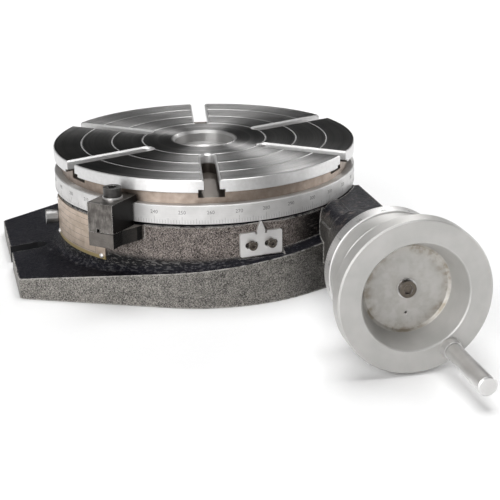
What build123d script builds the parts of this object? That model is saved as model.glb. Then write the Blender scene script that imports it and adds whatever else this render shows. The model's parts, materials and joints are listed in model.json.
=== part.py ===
"""Rotary table, 250 mm, with a 72 to 1 worm drive, built as separate pieces.

Frame: origin on the table's axis in the plane of the base's bottom face, +Z up.
X runs from ear to ear of the base. The worm shaft runs along -Y to the handwheel.
Sizes are in millimetres.
"""

import os
from math import acos, atan2, cos, degrees, hypot, pi, radians, sin, tan

from build123d import *

os.makedirs("parts", exist_ok=True)

# Table
TABLE_R = 125.0
TABLE_TOP = 101.0
RIM_BOTTOM = 91.0
BAND_R = 119.0
RING_R = 125.2
RING_TOP = 81.0
RING_BOTTOM = 66.0
RING_BORE_R = 117.0
SLAB_BOTTOM = 72.0
SLOT_FIRST_ANGLE = -99.4
SLOT_COUNT = 6
SLOT_WIDTH = 12.0
SLOT_HEAD_WIDTH = 20.5
SLOT_HEAD_TOP = 93.6
SLOT_FLOOR = 85.4
SLOT_INNER_R = 50.0
SLOT_HEAD_SETBACK = 2.0
SLOT_CHAMFER = 1.4
GROOVE_RADII = (51.4, 76.7, 102.0)
GROOVE_DEPTH = 0.7
RECESS_R = 26.5
REGISTER_R = 24.5
REGISTER_FLOOR = 92.0
SLEEVE_R = 20.0
SLEEVE_BOTTOM = 60.0
CENTRE_BORE_R = 12.5
SPINDLE_R = 30.0
SPINDLE_BORE_R = 16.0
SPINDLE_BOTTOM = 8.0

# Base
BODY_R = 123.5
BODY_TOP = 63.8
FLANGE_R = 131.3
EAR_X = 165.0
EAR_FRONT_Y = -67.5
EAR_BACK_Y = 100.0
BACK_Y = 135.0
BACK_X = 97.0
EAR_SLOT_Y = 12.0
EAR_SLOT_WIDTH = 17.0
EAR_SLOT_DEPTH = 30.0
ROOF_PEAK_X = 72.6
ROOF_PEAK_Z = 37.9
ROOF_LEFT_SLOPE = 5.14
ROOF_RIGHT_SLOPE = 9.78
ROOF_BACK_SLOPE = 1.55
CAVITY_R = 98.0
FLOOR_TOP = 12.0
FOOT_Z = 29.5
FOOT_HEIGHT = 8.0
HUB_R = 48.0
HUB_TOP = 46.0
HUB_BOTTOM = 20.0
BUSH_R = 36.0
NUT_POCKET_R = 46.0
COVER_R = 62.0
COVER_SEAT = 6.0
COVER_HEAD_SEAT = 3.2
COVER_SCREW_CIRCLE = 56.0

# Worm drive
MODULE = 2.0
WHEEL_TEETH = 72
WORM_PITCH_R = 11.0
WHEEL_PITCH_R = MODULE * WHEEL_TEETH / 2
WORM_X = WHEEL_PITCH_R + WORM_PITCH_R
WORM_Z = 56.5
WHEEL_WIDTH = 18.0
PRESSURE_ANGLE = radians(20)
TOOTH_RELIEF = 0.35
WHEEL_SCREW_CIRCLE = 51.0
WHEEL_BOTTOM = WORM_Z - WHEEL_WIDTH / 2
WHEEL_TOP = WORM_Z + WHEEL_WIDTH / 2
SHAFT_R = 6.5
BUSH_NEAR = 27.0
BUSH_FAR = 45.0
WORM_BUSH_R = 11.0

# Worm housing, measured outwards from the table's axis along the worm shaft
BOSS_R = 21.0
BOSS_START = 152.0
BOSS_END = 196.0
NECK_R = 11.5
SHOULDER_X = (71.0, 118.0)
SHOULDER_TOP = 66.0
SHOULDER_BOTTOM = 22.0
SLEEVE_BORE_R = 15.0
SLEEVE_START = BOSS_END - 37
CAP_R = 25.0
CAP_END = BOSS_END + 10
BEARING_MID = BOSS_END - 10.5
BEARING_HALF = 4.4
BEARING_SEAT_R = 13.0
CAP_SCREW_CIRCLE = 18.0

# Handwheel, measured the same way
FACE = 287.0
HANDWHEEL_R = 55.0
POCKET_R = 38.3
POCKET_FLOOR = 267.0
POCKET_FLOOR_R = 30.5
RIM_BACK = 273.0
HUB_BACK = 233.6
NECK_EDGE_R = 43.5
NECK_EDGE = 249.5
GROOVE_R = 37.8
GROOVE_MID = 259.5
DIAL_R = 44.8
DIAL_FRONT = 233.4
DIAL_BACK = 221.0
DIAL_SCREW_ANGLE = -45.0
HANDLE_R = 46.4
HANDLE_ANGLE = -57.0
GRIP_START = 294.0
GRIP_END = 352.0

# Clamps
CLAMP_ANGLES = {"front": -132.5, "rear": 47.5}
CLAMP_WIDTH = 22.2
CLAMP_FACE = 154.8
CLAMP_TOP = 87.0
CLAMP_SEAT = BODY_TOP
CLAMP_HEEL_FACE = 126.6
CLAMP_NOSE_R = 121.0
CLAMP_SCREW_R = 137.0
CLAMP_HEAD_R = 7.0
LUG_BOTTOM = 52.7

# Small fittings on the body
POINTER_ANGLE = -82.0
POINTER_PAD = 122.4
POINTER_SCREW_Z = 47.0
POINTER_SCREW_Y = (-8.0, 8.0)
PLATE_FROM = -181.0
PLATE_TO = -141.5
PLATE_LOW = 29.4
PLATE_HIGH = 62.5
PLATE_THICK = 0.9
RIVET_INSET_ANGLE = 2.0
RIVET_INSET = 2.6
OILER_ANGLE = 177.0
OILER_Z = 42.0
OILER_R = 6.0
PLUG_ANGLE = 78.0
PLUG_Z = 50.0

# Running and seating clearances
CLEAR = 0.05
SNUG = 0.02


def turned(*points):
    """Solid of revolution about Z from an outline of (radius, height) points."""
    outline = Polyline(*[(r, 0, z) for r, z in points], close=True)
    return revolve(make_face(outline), Axis.Z)


def tube(outer, inner, low, high):
    """Plain ring about Z."""
    return turned((inner, low), (outer, low), (outer, high), (inner, high))


def rod(radius, low, high):
    """Plain cylinder about Z between two heights."""
    return Pos(0, 0, (low + high) / 2) * Cylinder(radius, high - low)


def block(x0, x1, y0, y1, z0, z1):
    """Box between two corners."""
    return Pos((x0 + x1) / 2, (y0 + y1) / 2, (z0 + z1) / 2) * Box(x1 - x0, y1 - y0, z1 - z0)


def polar(radius, angle):
    """Point in the XY plane from a radius and an angle in degrees."""
    return radius * cos(radians(angle)), radius * sin(radians(angle))


def around(shape, radius, count, start=0.0):
    """Copies of a shape evenly spaced on a circle about Z."""
    return [Rot(0, 0, start + 360 * i / count) * Pos(radius, 0, 0) * shape for i in range(count)]


def on_worm_axis(shape):
    """Moves a shape made along +Z to the worm axis, with +Z turned outwards to -Y."""
    return Pos(WORM_X, 0, WORM_Z) * Rot(90, 0, 0) * shape


def cap_screw(shank_r, length, head_r, head_height, socket_share=0.5):
    """Socket head cap screw: the head stands above height 0, the shank hangs below."""
    socket = extrude(RegularPolygon(head_r * socket_share, 6), head_height * 0.6)
    screw = rod(shank_r, -length, 0) + rod(head_r, 0, head_height)
    return screw - Pos(0, 0, head_height * 0.45) * socket


def save(name, shape):
    """Writes one piece, or one group of identical pieces, as parts/NAME.step."""
    solids = shape if isinstance(shape, list) else [shape]
    piece = Compound(children=[s for part in solids for s in part.solids()])
    piece.label = name
    export_step(piece, f"parts/{name}.step")


# ---------------------------------------------------------------- table body


def t_slot_cutter():
    """One radial T-slot along +X: neck, head and the chamfer along the top edges."""
    end = TABLE_R + 10
    half_neck = SLOT_WIDTH / 2
    half_head = SLOT_HEAD_WIDTH / 2
    neck_start = SLOT_INNER_R + half_neck
    head_start = SLOT_INNER_R + SLOT_HEAD_SETBACK + half_head
    over = TABLE_TOP + 1
    neck = block(neck_start, end, -half_neck, half_neck, SLOT_FLOOR, over)
    neck += Pos(neck_start, 0, 0) * rod(half_neck, SLOT_FLOOR, over)
    head = block(head_start, end, -half_head, half_head, SLOT_FLOOR, SLOT_HEAD_TOP)
    head += Pos(head_start, 0, 0) * rod(half_head, SLOT_FLOOR, SLOT_HEAD_TOP)
    wide = half_neck + SLOT_CHAMFER
    low = TABLE_TOP - SLOT_CHAMFER
    bevel_outline = Polyline(
        (neck_start, -half_neck, low),
        (neck_start, half_neck, low),
        (neck_start, wide, TABLE_TOP),
        (neck_start, wide, over),
        (neck_start, -wide, over),
        (neck_start, -wide, TABLE_TOP),
        close=True,
    )
    bevel = extrude(make_face(bevel_outline), end - neck_start, dir=(1, 0, 0))
    cone = turned((0, low), (half_neck, low), (wide, TABLE_TOP), (wide, over), (0, over))
    return neck + head + bevel + Pos(neck_start, 0, 0) * cone


def rotary_platter():
    """Round table with its spindle, T-slots, ring grooves and centre recess."""
    blank = turned(
        (SPINDLE_BORE_R, SPINDLE_BOTTOM),
        (SPINDLE_R, SPINDLE_BOTTOM),
        (SPINDLE_R, HUB_TOP + 0.4),
        (40, HUB_TOP + 0.4),
        (40, WHEEL_TOP),
        (62, WHEEL_TOP),
        (62, SLAB_BOTTOM),
        (113, SLAB_BOTTOM),
        (113, RING_BOTTOM + 0.3),
        (RING_BORE_R, RING_BOTTOM + 0.3),
        (RING_BORE_R, RING_TOP),
        (BAND_R, RING_TOP),
        (BAND_R, RIM_BOTTOM),
        (TABLE_R - 0.5, RIM_BOTTOM),
        (TABLE_R, RIM_BOTTOM + 0.5),
        (TABLE_R, TABLE_TOP - 0.7),
        (TABLE_R - 0.7, TABLE_TOP),
        (RECESS_R, TABLE_TOP),
        (REGISTER_R, TABLE_TOP - 2),
        (REGISTER_R, REGISTER_FLOOR),
        (SLEEVE_R, REGISTER_FLOOR),
        (SLEEVE_R, SLEEVE_BOTTOM),
        (SPINDLE_BORE_R, SLEEVE_BOTTOM),
    )
    for r in GROOVE_RADII:
        d = GROOVE_DEPTH
        blank -= turned((r - d, TABLE_TOP), (r, TABLE_TOP - d), (r + d, TABLE_TOP))
    slot = t_slot_cutter()
    for i in range(SLOT_COUNT):
        blank -= Rot(0, 0, SLOT_FIRST_ANGLE + 360 * i / SLOT_COUNT) * slot
    for hole in around(rod(2.6, WHEEL_TOP - 1, WHEEL_TOP + 9), WHEEL_SCREW_CIRCLE, 6):
        blank -= hole
    return blank


def graduated_ring():
    """Graduated ring pressed on the table's skirt, with broken edges."""
    return turned(
        (RING_BORE_R, RING_BOTTOM),
        (RING_R - 0.4, RING_BOTTOM),
        (RING_R, RING_BOTTOM + 0.4),
        (RING_R, RING_TOP - 0.6),
        (RING_R - 0.6, RING_TOP),
        (RING_BORE_R, RING_TOP),
    )


def wheel_tooth_points():
    """Half of one wheel tooth: (radius, half angle) from root to tip on an involute."""
    base_r = WHEEL_PITCH_R * cos(PRESSURE_ANGLE)
    half_pitch_angle = (pi * MODULE / 2 - TOOTH_RELIEF) / (2 * WHEEL_PITCH_R)
    involute_at_pitch = tan(PRESSURE_ANGLE) - PRESSURE_ANGLE
    points = []
    for radius in (WHEEL_PITCH_R - 2.4, WHEEL_PITCH_R, WHEEL_PITCH_R + 2.0):
        pressure = acos(min(1.0, base_r / radius))
        points.append((radius, half_pitch_angle + involute_at_pitch - (tan(pressure) - pressure)))
    return points


def wheel_outline(turn, height):
    """Closed outline of all teeth, turned by an angle in radians, at a height."""
    half = wheel_tooth_points()
    corners = []
    for i in range(WHEEL_TEETH):
        middle = turn + 2 * pi * i / WHEEL_TEETH
        flank = [(r, middle - a) for r, a in half] + [(r, middle + a) for r, a in reversed(half)]
        corners += [(r * cos(a), r * sin(a), height) for r, a in flank]
    return make_face(Polyline(*corners, close=True))


def worm_wheel():
    """Helical worm wheel whose teeth lean with the worm's lead."""
    lean = (WHEEL_WIDTH / 2) * (MODULE / 2 / WORM_PITCH_R) / WHEEL_PITCH_R
    gear = loft([wheel_outline(-lean, WHEEL_BOTTOM), wheel_outline(lean, WHEEL_TOP)], ruled=True)
    gear -= rod(40 + CLEAR, WHEEL_BOTTOM - 1, WHEEL_TOP + 1)
    for hole in around(rod(3.2, WHEEL_BOTTOM - 1, WHEEL_TOP + 1), WHEEL_SCREW_CIRCLE, 6):
        gear -= hole
    for seat in around(rod(5.4, WHEEL_BOTTOM - 1, WHEEL_BOTTOM + 6.5), WHEEL_SCREW_CIRCLE, 6):
        gear -= seat
    return gear


def make_table():
    """The pieces that turn with the table."""
    save("rotary_platter", rotary_platter())
    save("graduated_ring", graduated_ring())
    save("worm_wheel", worm_wheel())
    screw = Pos(0, 0, WHEEL_BOTTOM + 6.5) * Rot(180, 0, 0) * cap_screw(2.5, 19, 5.0, 5.0)
    save("worm_wheel_screws", around(screw, WHEEL_SCREW_CIRCLE, 6))
    sleeve = turned(
        (CENTRE_BORE_R, SLEEVE_BOTTOM),
        (SLEEVE_R - CLEAR, SLEEVE_BOTTOM),
        (SLEEVE_R - CLEAR, REGISTER_FLOOR - 0.3),
        (CENTRE_BORE_R + 1.5, REGISTER_FLOOR - 0.3),
        (CENTRE_BORE_R, REGISTER_FLOOR - 1.8),
    )
    save("centre_sleeve", sleeve)
    nut = tube(40, SPINDLE_R + CLEAR, SPINDLE_BOTTOM, HUB_BOTTOM - 2.2)
    for i in range(4):
        nut -= Rot(0, 0, 90 * i) * block(36, 42, -3, 3, SPINDLE_BOTTOM - 1, HUB_BOTTOM)
    save("spindle_nut", nut)


# ----------------------------------------------------------------- base body


def tangent_point(x, y):
    """Where the front edge from an ear's corner touches the round flange."""
    angle = degrees(atan2(y, x)) + (1 if x < 0 else -1) * degrees(acos(FLANGE_R / hypot(x, y)))
    return polar(FLANGE_R, angle)


def flange_blank():
    """Base flange: ears with a flat back, under a top that falls away to both ears."""
    left = tangent_point(-EAR_X, EAR_FRONT_Y)
    right = tangent_point(EAR_X, EAR_FRONT_Y)
    ears = make_face(
        Polyline(
            left,
            (-EAR_X, EAR_FRONT_Y),
            (-EAR_X, EAR_BACK_Y),
            (-BACK_X, BACK_Y),
            (BACK_X, BACK_Y),
            (EAR_X, EAR_BACK_Y),
            (EAR_X, EAR_FRONT_Y),
            right,
            close=True,
        )
    )
    plan = extrude(ears, 60) + rod(FLANGE_R, 0, 60)
    corners = [e for e in plan.edges().filter_by(Axis.Z) if abs(abs(e.center().X) - EAR_X) < 1]
    plan = fillet(corners, 5)
    end = 180
    left_z = ROOF_PEAK_Z - (ROOF_PEAK_X + end) * tan(radians(ROOF_LEFT_SLOPE))
    right_z = ROOF_PEAK_Z - (end - ROOF_PEAK_X) * tan(radians(ROOF_RIGHT_SLOPE))
    roof_outline = Polyline(
        (-end, 0, -30),
        (-end, 0, left_z),
        (ROOF_PEAK_X, 0, ROOF_PEAK_Z),
        (end, 0, right_z),
        (end, 0, -30),
        close=True,
    )
    roof = extrude(make_face(roof_outline), 500, dir=(0, 1, 0))
    roof = Pos(0, EAR_FRONT_Y, 0) * Rot(-ROOF_BACK_SLOPE, 0, 0) * Pos(0, -200, 0) * roof
    return plan & roof


def body_foot():
    """Hollow sweep where the round body meets the sloping flange."""
    inner = BODY_R - 20
    foot_r = FLANGE_R - 0.8
    outline = [
        Line((inner, 0, -25), (foot_r, 0, -25)),
        Line((foot_r, 0, -25), (foot_r, 0, 0)),
        ThreePointArc((foot_r, 0, 0), (BODY_R + 2.2, 0, 2.4), (BODY_R - 0.4, 0, FOOT_HEIGHT)),
        Line((BODY_R - 0.4, 0, FOOT_HEIGHT), (inner, 0, FOOT_HEIGHT)),
        Line((inner, 0, FOOT_HEIGHT), (inner, 0, -25)),
    ]
    foot = revolve(make_face(Wire(outline)), Axis.Z)
    tilted = Pos(0, 0, FOOT_Z) * Rot(-ROOF_BACK_SLOPE, -ROOF_LEFT_SLOPE, 0) * foot
    return tilted & rod(FLANGE_R, 0, BODY_TOP)


def ear_slot(side):
    """Open-ended hold-down slot in one ear."""
    inner = EAR_X - EAR_SLOT_DEPTH + EAR_SLOT_WIDTH / 2
    half = EAR_SLOT_WIDTH / 2
    cutter = block(inner, EAR_X + 5, EAR_SLOT_Y - half, EAR_SLOT_Y + half, -1, 60)
    cutter += Pos(inner, EAR_SLOT_Y, 0) * rod(half, -1, 60)
    return cutter if side > 0 else mirror(cutter, Plane.YZ)


def clamp_lug(angle):
    """Lug on the base that carries one table clamp."""
    half = CLAMP_WIDTH / 2
    outline = Polyline(
        (110, -half - 9, LUG_BOTTOM),
        (130, -half - 5, LUG_BOTTOM),
        (143, -half, LUG_BOTTOM),
        (CLAMP_FACE, -half, LUG_BOTTOM),
        (CLAMP_FACE, half, LUG_BOTTOM),
        (143, half, LUG_BOTTOM),
        (130, half + 5, LUG_BOTTOM),
        (110, half + 9, LUG_BOTTOM),
        close=True,
    )
    lug = extrude(make_face(outline), CLAMP_SEAT - LUG_BOTTOM, dir=(0, 0, 1))
    lug -= Pos(CLAMP_SCREW_R, 0, 0) * rod(4.05, LUG_BOTTOM - 1, CLAMP_SEAT + 1)
    return Rot(0, 0, angle) * lug


def worm_housing():
    """Housing of the worm shaft: a shoulder off the body, a neck and the bearing boss."""
    left, right = SHOULDER_X
    section = Polyline(
        (left, 0, SHOULDER_BOTTOM - 12),
        (left, 0, 54),
        (left + 5, 0, 62),
        (WORM_X - 4, 0, SHOULDER_TOP),
        (right, 0, SHOULDER_TOP),
        (right + 5, 0, SHOULDER_TOP - 5),
        (right + 5, 0, SHOULDER_BOTTOM - 12),
        close=True,
    )
    profile = Polyline(
        (left, -55, SHOULDER_BOTTOM - 8),
        (left, -55, 80),
        (left, -BOSS_START, 80),
        (left, -BOSS_START, WORM_Z - BOSS_R + 4),
        (left, -112, SHOULDER_BOTTOM),
        (left, -98, SHOULDER_BOTTOM - 8),
        close=True,
    )
    shoulder = extrude(make_face(section), BOSS_START, dir=(0, -1, 0))
    shoulder &= extrude(make_face(profile), 60, dir=(1, 0, 0))
    boss = turned(
        (0, 70),
        (NECK_R, 70),
        (NECK_R, BOSS_START - 8),
        (BOSS_R - 1, BOSS_START),
        (BOSS_R, BOSS_START + 1),
        (BOSS_R, BOSS_END),
        (0, BOSS_END),
    )
    return shoulder + on_worm_axis(boss) - rod(BODY_R + 3.2, BODY_TOP, 100)


def base_casting():
    """Base casting: flange, round body, worm housing, clamp lugs and inner hub."""
    wall = turned(
        (0, 0),
        (BODY_R, 0),
        (BODY_R, BODY_TOP - 0.8),
        (BODY_R - 0.8, BODY_TOP),
        (0, BODY_TOP),
    )
    casting = flange_blank() + wall + body_foot()
    casting += worm_housing()
    for angle in CLAMP_ANGLES.values():
        casting += clamp_lug(angle)
    casting -= tube(CAVITY_R, HUB_R, FLOOR_TOP, BODY_TOP + 1)
    casting -= rod(HUB_R + 1, HUB_TOP, BODY_TOP + 1)
    casting -= rod(BUSH_R, HUB_BOTTOM - 1, HUB_TOP + 1)
    casting -= rod(NUT_POCKET_R, COVER_SEAT - 1, HUB_BOTTOM)
    casting -= rod(COVER_R, -1, COVER_SEAT)
    for near in (-BUSH_FAR, BUSH_NEAR):
        pedestal = block(62, 104, near, near + BUSH_FAR - BUSH_NEAR, 8, 69)
        pedestal &= rod(CAVITY_R, 0, 80) + rod(BODY_R - 2, 0, BODY_TOP)
        pedestal -= rod(WHEEL_PITCH_R + MODULE + 1.8, HUB_TOP, 80)
        casting += pedestal
    casting -= on_worm_axis(rod(WORM_BUSH_R, -BUSH_FAR, BUSH_FAR))
    casting -= on_worm_axis(rod(SHAFT_R + 0.6, -BUSH_FAR - 3, BOSS_END + 1))
    casting -= on_worm_axis(rod(SLEEVE_BORE_R, SLEEVE_START - 1, BOSS_END + 1))
    for hole in around(rod(1.75, BOSS_END - 11, BOSS_END + 1), CAP_SCREW_CIRCLE, 3, 90):
        casting -= on_worm_axis(hole)
    for side in (-1, 1):
        casting -= ear_slot(side)
    for hole in around(rod(2.5, COVER_SEAT - 1, COVER_SEAT + 9), COVER_SCREW_CIRCLE, 6, 30):
        casting -= hole
    for cutter in (pointer_pad(), plate_rivet_holes(), side_holes()):
        casting -= cutter
    return casting


def radial(shape, angle, z):
    """Turns a shape made along +Z so that it points outwards at an angle and height."""
    return Rot(0, 0, angle) * Pos(0, 0, z) * Rot(0, 90, 0) * shape


def pointer_pad():
    """Milled pad and tapped holes for the pointer plate."""
    cutter = block(POINTER_PAD, 140, -19, 19, 36.5, BODY_TOP + 1)
    for y in POINTER_SCREW_Y:
        cutter += Pos(0, y, POINTER_SCREW_Z) * Rot(0, 90, 0) * rod(2.0, 112, POINTER_PAD + 1)
    return Rot(0, 0, POINTER_ANGLE) * cutter


def plate_rivet_places():
    """Angle and height of each nameplate rivet."""
    angles = (PLATE_FROM + RIVET_INSET_ANGLE, PLATE_TO - RIVET_INSET_ANGLE)
    heights = (PLATE_LOW + RIVET_INSET, PLATE_HIGH - RIVET_INSET)
    return [(a, z) for a in angles for z in heights]


def plate_rivet_holes():
    """Drilled holes in the body for the nameplate rivets."""
    holes = [radial(rod(1.2, 116, 126), a, z) for a, z in plate_rivet_places()]
    return Compound(children=holes)


def side_holes():
    """Holes in the body's wall for the oiler and the filler plug."""
    oiler = radial(rod(4.0, 112, 126), OILER_ANGLE, OILER_Z)
    plug = radial(rod(5.0, 110, 126), PLUG_ANGLE, PLUG_Z)
    return Compound(children=[oiler, plug])


def nameplate():
    """Blank plate bent to the body, held by four rivets."""
    inner = BODY_R + 0.02
    ring = turned(
        (inner, PLATE_LOW),
        (inner + PLATE_THICK, PLATE_LOW),
        (inner + PLATE_THICK, PLATE_HIGH),
        (inner, PLATE_HIGH),
    )
    wedge_points = [(0, 0, 0)] + [
        (*polar(200, PLATE_FROM + (PLATE_TO - PLATE_FROM) * i / 4), 0) for i in range(5)
    ]
    wedge = extrude(make_face(Polyline(*wedge_points, close=True)), 100, dir=(0, 0, 1))
    plate = ring & wedge
    for a, z in plate_rivet_places():
        plate -= radial(rod(1.3, 120, 130), a, z)
    return plate


def pointer_plate():
    """Flat index plate with a pointer tip and two slots for its screws."""
    outline = Polyline(
        (-17.3, 38.0),
        (17.3, 38.0),
        (17.3, 57.0),
        (5.0, 57.0),
        (5.0, 55.3),
        (3.2, 55.3),
        (3.2, 58.2),
        (0.5, 65.4),
        (-0.5, 65.4),
        (-3.2, 58.2),
        (-3.2, 55.3),
        (-5.0, 55.3),
        (-5.0, 57.0),
        (-17.3, 57.0),
        close=True,
    )
    plate = extrude(make_face(outline), 2.6)
    corners = [e for e in plate.edges().filter_by(Axis.Z) if abs(e.center().X) > 17]
    plate = fillet(corners, 1.5)
    for y in POINTER_SCREW_Y:
        plate -= Pos(y, POINTER_SCREW_Z, 1.3) * extrude(SlotOverall(10.5, 4.9), 4, both=True)
    facing_out = Plane(origin=(POINTER_PAD, 0, 0), x_dir=(0, 1, 0), z_dir=(1, 0, 0))
    return Rot(0, 0, POINTER_ANGLE) * (facing_out * plate)


def make_base():
    """The casting and everything fastened to it."""
    save("base_casting", base_casting())
    save("table_way_ring", tube(112, 105, BODY_TOP, SLAB_BOTTOM - 0.1))
    bush = tube(BUSH_R - CLEAR, SPINDLE_R + CLEAR, HUB_BOTTOM, HUB_TOP)
    save("spindle_bush", bush)
    save("thrust_washer", tube(43, SPINDLE_R + 0.5, HUB_BOTTOM - 2, HUB_BOTTOM))
    cover = rod(COVER_R - 0.3, 0, COVER_SEAT)
    for hole in around(rod(2.8, -1, COVER_SEAT + 1), COVER_SCREW_CIRCLE, 6, 30):
        cover -= hole
    for seat in around(rod(4.8, -1, COVER_HEAD_SEAT), COVER_SCREW_CIRCLE, 6, 30):
        cover -= seat
    save("bottom_cover", cover)
    screw = Pos(0, 0, COVER_HEAD_SEAT) * Rot(180, 0, 0) * cap_screw(2.45, 10, 4.3, 2.6)
    save("bottom_cover_screws", around(screw, COVER_SCREW_CIRCLE, 6, 30))
    save("nameplate", nameplate())
    head = rod(1.15, 117, BODY_R + PLATE_THICK + 0.1)
    head += Pos(0, 0, BODY_R + PLATE_THICK + 0.05) * scale(Sphere(2.1) & rod(3, 0, 3), (1, 1, 0.55))
    save("nameplate_rivets", [radial(head, a, z) for a, z in plate_rivet_places()])
    save("pointer_plate", pointer_plate())
    screw = Pos(0, 0, POINTER_PAD + 2.6) * cap_screw(1.95, 10, 3.5, 3.4)
    screws = [Pos(0, y, POINTER_SCREW_Z) * Rot(0, 90, 0) * screw for y in POINTER_SCREW_Y]
    save("pointer_screws", [Rot(0, 0, POINTER_ANGLE) * s for s in screws])
    oiler = rod(3.95, 113, 125) + rod(OILER_R, 125, 135) - rod(2.6, 129, 136)
    oiler += turned((0, 129), (2.5, 129), (2.5, 132.5), (0, 134.3))
    oiler = chamfer(oiler.edges().group_by(Axis.Z)[-1], 0.5)
    save("side_oiler", radial(oiler, OILER_ANGLE, OILER_Z))
    plug = rod(4.95, 111, 124.2) + rod(7.5, 124.2, 128)
    plug -= Pos(0, 0, 125) * extrude(RegularPolygon(3.4, 6), 4)
    save("oil_filler_plug", radial(plug, PLUG_ANGLE, PLUG_Z))
    worm_bush = tube(WORM_BUSH_R - CLEAR, SHAFT_R + CLEAR, BUSH_NEAR, BUSH_FAR)
    save("worm_bush_inner", on_worm_axis(worm_bush))
    save("worm_bush_far", on_worm_axis(Rot(180, 0, 0) * worm_bush))
    make_front_bearing()


def make_front_bearing():
    """Bearing sleeve with its flange, and the ball bearing that it holds."""
    low = BEARING_MID - BEARING_HALF
    high = BEARING_MID + BEARING_HALF
    head_seat = CAP_END - 3.4
    sleeve = turned(
        (8.0, SLEEVE_START),
        (SLEEVE_BORE_R - CLEAR, SLEEVE_START),
        (SLEEVE_BORE_R - CLEAR, BOSS_END),
        (CAP_R - 1, BOSS_END),
        (CAP_R, BOSS_END + 1),
        (CAP_R, CAP_END - 1.5),
        (CAP_R - 1.5, CAP_END),
        (8.0, CAP_END),
        (8.0, high + 0.1),
        (BEARING_SEAT_R, high + 0.1),
        (BEARING_SEAT_R, low - 0.1),
        (8.0, low - 0.1),
    )
    for hole in around(rod(1.8, BOSS_END - 1, CAP_END + 1), CAP_SCREW_CIRCLE, 3, 90):
        sleeve -= hole
    for seat in around(rod(3.6, head_seat, CAP_END + 1), CAP_SCREW_CIRCLE, 3, 90):
        sleeve -= seat
    save("bearing_sleeve", on_worm_axis(sleeve))
    screw = Pos(0, 0, head_seat) * cap_screw(1.7, 14, 3.2, 3.0)
    screws = around(screw, CAP_SCREW_CIRCLE, 3, 90)
    save("bearing_sleeve_screws", [on_worm_axis(s) for s in screws])
    groove = Pos(0, 0, BEARING_MID) * Torus(10.2, 1.6)
    outer = tube(BEARING_SEAT_R - CLEAR, 11.2, low, high) - groove
    inner = tube(9.2, SHAFT_R + SNUG, low, high) - groove
    balls = around(Pos(0, 0, BEARING_MID) * Sphere(1.5), 10.2, 12)
    save("bearing_outer_race", on_worm_axis(outer))
    save("bearing_inner_race", on_worm_axis(inner))
    save("bearing_balls", [on_worm_axis(b) for b in balls])


# ----------------------------------------------------------------- worm body


def worm_shaft():
    """Worm with one right-hand thread, its journals and the handwheel seat."""
    lead = pi * MODULE
    root_r = WORM_PITCH_R - 2.4
    tip_r = WORM_PITCH_R + 2.0
    half = (pi * MODULE / 2 - TOOTH_RELIEF) / 2
    foot = half + (WORM_PITCH_R - root_r + 0.3) * tan(PRESSURE_ANGLE)
    crest = half - (tip_r - WORM_PITCH_R) * tan(PRESSURE_ANGLE)
    turns = 5
    start = -turns * lead / 2
    profile = make_face(
        Polyline(
            (root_r - 0.3, 0, start - foot),
            (tip_r, 0, start - crest),
            (tip_r, 0, start + crest),
            (root_r - 0.3, 0, start + foot),
            close=True,
        )
    )
    path = Pos(0, 0, start) * Helix(lead, turns * lead, WORM_PITCH_R)
    thread = sweep(profile, path=path, is_frenet=True)
    core = rod(root_r, -22, 22)
    # The wheel has a tooth at angle 0, so the worm shows it a thread space there.
    worm = Rot(0, 0, 180) * (core + thread)
    shaft = rod(SHAFT_R, 1 - BUSH_FAR, -22) + rod(SHAFT_R, 22, FACE - 20.6)
    keyway = block(SHAFT_R - 1.8, SHAFT_R + 1, -2, 2, 240, 262)
    tapped = rod(3.0, FACE - 40, FACE - 20)
    return worm + shaft - keyway - tapped


def handwheel():
    """Dished handwheel with a wide rim, a grooved hub and a seat for the handle."""
    bore = SHAFT_R + 0.03
    outline = [
        Line((bore, 0, HUB_BACK), (NECK_EDGE_R, 0, HUB_BACK)),
        Line((NECK_EDGE_R, 0, HUB_BACK), (NECK_EDGE_R, 0, NECK_EDGE)),
        Line((NECK_EDGE_R, 0, NECK_EDGE), (NECK_EDGE_R - 1.2, 0, NECK_EDGE + 1)),
        ThreePointArc(
            (NECK_EDGE_R - 1.2, 0, NECK_EDGE + 1),
            (GROOVE_R, 0, GROOVE_MID),
            (NECK_EDGE_R - 1.2, 0, RIM_BACK - 4),
        ),
        Line((NECK_EDGE_R - 1.2, 0, RIM_BACK - 4), (HANDWHEEL_R - 1.6, 0, RIM_BACK)),
        Line((HANDWHEEL_R - 1.6, 0, RIM_BACK), (HANDWHEEL_R, 0, RIM_BACK + 1.6)),
        Line((HANDWHEEL_R, 0, RIM_BACK + 1.6), (HANDWHEEL_R, 0, FACE - 1.0)),
        Line((HANDWHEEL_R, 0, FACE - 1.0), (HANDWHEEL_R - 1.0, 0, FACE)),
        Line((HANDWHEEL_R - 1.0, 0, FACE), (POCKET_R + 0.8, 0, FACE)),
        Line((POCKET_R + 0.8, 0, FACE), (POCKET_R, 0, FACE - 0.8)),
        Line((POCKET_R, 0, FACE - 0.8), (POCKET_FLOOR_R + 1.5, 0, POCKET_FLOOR + 1.5)),
        Line((POCKET_FLOOR_R + 1.5, 0, POCKET_FLOOR + 1.5), (POCKET_FLOOR_R - 0.5, 0, POCKET_FLOOR)),
        Line((POCKET_FLOOR_R - 0.5, 0, POCKET_FLOOR), (bore, 0, POCKET_FLOOR)),
        Line((bore, 0, POCKET_FLOOR), (bore, 0, HUB_BACK)),
    ]
    wheel = revolve(make_face(Wire(outline)), Axis.Z)
    x, y = polar(HANDLE_R, HANDLE_ANGLE)
    wheel -= Pos(x, y, 0) * rod(4.0, RIM_BACK - 1, FACE + 1)
    wheel -= Pos(x, y, 0) * rod(7.0, FACE - 1.0, FACE + 1)
    wheel -= block(0, SHAFT_R + 1.3, -2, 2, HUB_BACK - 1, 262)
    wheel -= Pos(0, -17.8, 0) * rod(1.0, POCKET_FLOOR - 3, POCKET_FLOOR + 1)
    return wheel


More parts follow.
